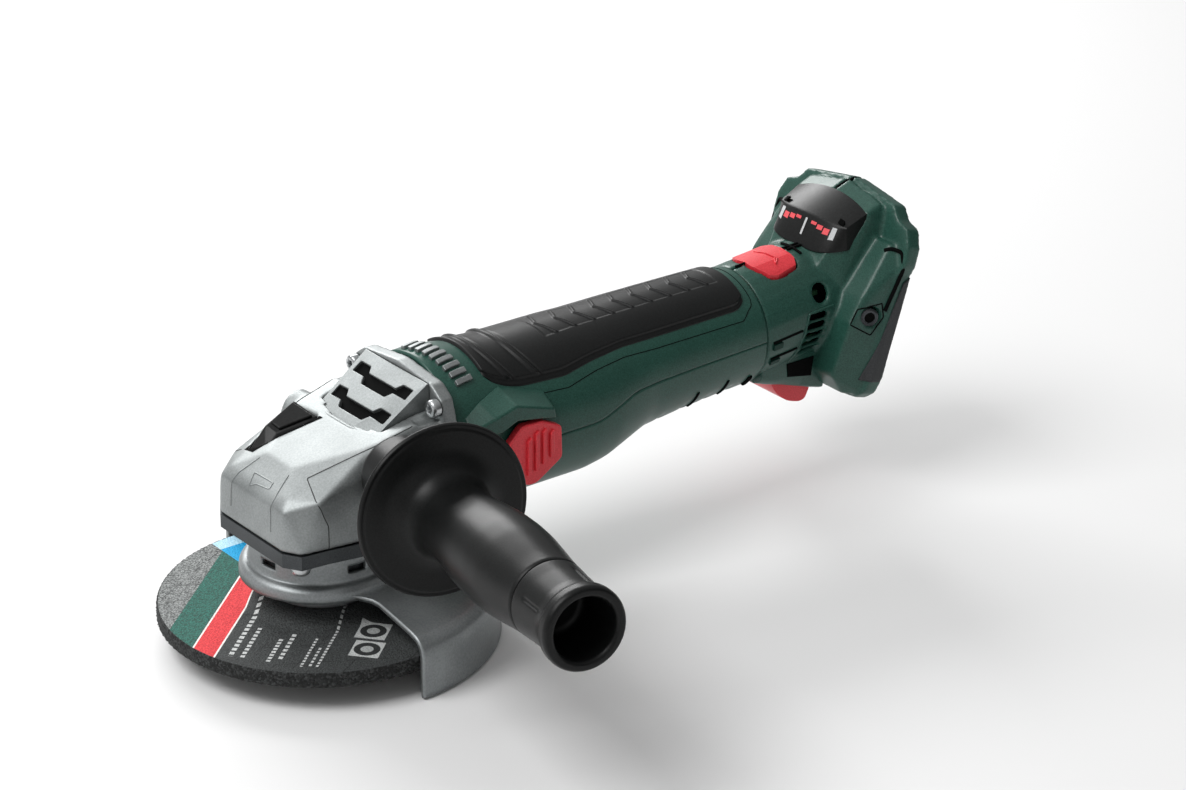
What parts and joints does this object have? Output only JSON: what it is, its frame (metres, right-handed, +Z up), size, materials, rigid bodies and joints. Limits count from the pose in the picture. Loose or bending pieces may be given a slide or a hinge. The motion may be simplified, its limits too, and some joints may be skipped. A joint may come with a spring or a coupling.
{
  "type": "angle grinder",
  "caption": "Battery angle grinder without its battery: gear head, guard and disc, side handle, slim barrel, turning rear housing.",
  "frame": {"origin": "centre of the spindle's end face, on the spindle's axis", "axes": "+Z up the spindle, away from the disc; +X back along the barrel; the side handle is on the -Y side"},
  "size_m": [0.3297, 0.2523, 0.1226],
  "materials": {
    "cast": "satin cast metal",
    "dark_plastic": "satin moulded",
    "green_plastic": "satin moulded",
    "black_rubber": "soft matt",
    "red_plastic": "satin moulded",
    "steel": "ground",
    "dark_steel": "blackened",
    "guard_steel": "zinc plated sheet",
    "abrasive": "coarse bonded grit",
    "copper": "lacquered windings",
    "board": "potted circuit board"
  },
  "bodies": {
    "tool_body": {"gear_case": "cast", "vent_panel": "cast", "bearing_cover": "dark_plastic", "cover_screw_1": "steel", "cover_screw_2": "steel", "cover_screw_3": "steel", "cover_screw_4": "steel", "case_screw_1": "steel", "case_screw_2": "steel", "case_screw_3": "steel", "case_screw_4": "steel", "spindle_bearing_lower": "dark_steel", "spindle_bearing_upper": "dark_steel", "motor_bearing_front": "dark_steel", "motor_bearing_rear": "dark_steel", "motor_stator": "copper", "air_baffle": "dark_plastic", "housing_upper": "green_plastic", "housing_lower": "green_plastic", "grip_pad": "black_rubber", "switch_module": "dark_plastic"},
    "spindle": {"spindle": "steel", "crown_gear": "dark_steel", "support_flange": "steel", "grinding_disc": "abrasive", "clamp_nut": "dark_steel"},
    "motor_rotor": {"pinion": "dark_steel", "motor_shaft": "steel", "motor_rotor": "dark_steel", "fan": "dark_plastic"},
    "guard": {"guard": "guard_steel"},
    "guard_latch": {"guard_latch": "dark_steel"},
    "spindle_lock": {"spindle_lock_button": "dark_plastic"},
    "slide_switch": {"slide_switch": "red_plastic", "switch_rod": "dark_plastic"},
    "rear_housing": {"rear_shell_left": "green_plastic", "rear_shell_right": "green_plastic", "indicator_cover": "dark_plastic", "swivel_ring": "dark_plastic", "electronics_module": "board", "battery_terminal_block": "dark_plastic", "bumper_left": "black_rubber", "bumper_right": "black_rubber", "rear_screw_1": "steel", "rear_screw_2": "steel"},
    "swivel_button": {"swivel_button": "red_plastic"},
    "rear_lever": {"rear_lever": "red_plastic"},
    "side_handle": {"handle_grip": "dark_plastic", "handle_cap": "dark_plastic", "handle_stud": "steel"}
  },
  "joints": [
    {"name": "spindle_spin", "type": "hinge", "parent": "tool_body", "child": "spindle", "pos_m": [0, 0, 0], "axis": [0, 0, 1], "continuous": true},
    {"name": "motor_spin", "type": "hinge", "parent": "tool_body", "child": "motor_rotor", "pos_m": [0.09, 0, 0.06], "axis": [1, 0, 0], "continuous": true},
    {"name": "guard_turn", "type": "hinge", "parent": "tool_body", "child": "guard", "pos_m": [0, 0, 0.03], "axis": [0, 0, 1], "range_deg": [-100, 100]},
    {"name": "guard_latch_pull", "type": "slide", "parent": "tool_body", "child": "guard_latch", "axis": [1, 0, 0], "range_m": [0, 0.0025], "stiffness_N_per_m": 400, "springref_m": -0.001},
    {"name": "spindle_lock_press", "type": "slide", "parent": "tool_body", "child": "spindle_lock", "axis": [0, 0, -1], "range_m": [0, 0.003], "stiffness_N_per_m": 500, "springref_m": -0.001},
    {"name": "switch_slide", "type": "slide", "parent": "tool_body", "child": "slide_switch", "axis": [-1, 0, 0], "range_m": [0, 0.0055]},
    {"name": "rear_swivel", "type": "hinge", "parent": "tool_body", "child": "rear_housing", "pos_m": [0.197, 0, 0.0663], "axis": [1, 0, 0], "range_deg": [-90, 90]},
    {"name": "swivel_button_press", "type": "slide", "parent": "rear_housing", "child": "swivel_button", "axis": [0, 0, -1], "range_m": [0, 0.002], "stiffness_N_per_m": 400, "springref_m": -0.001},
    {"name": "rear_lever_squeeze", "type": "hinge", "parent": "rear_housing", "child": "rear_lever", "pos_m": [0.206, 0, 0.0435], "axis": [0, -1, 0], "range_deg": [0, 6], "stiffness_Nm_per_rad": 1.2, "springref_deg": -2.86},
    {"name": "side_handle_turn", "type": "hinge", "parent": "tool_body", "child": "side_handle", "pos_m": [0.0174, 0, 0.0664], "axis": [-0.1817, -0.9822, 0.0472], "range_deg": [-360, 0]}
  ],
  "couplings": [
    {"joint": "motor_spin", "follows": "spindle_spin", "ratio": 3.3636}
  ]
}
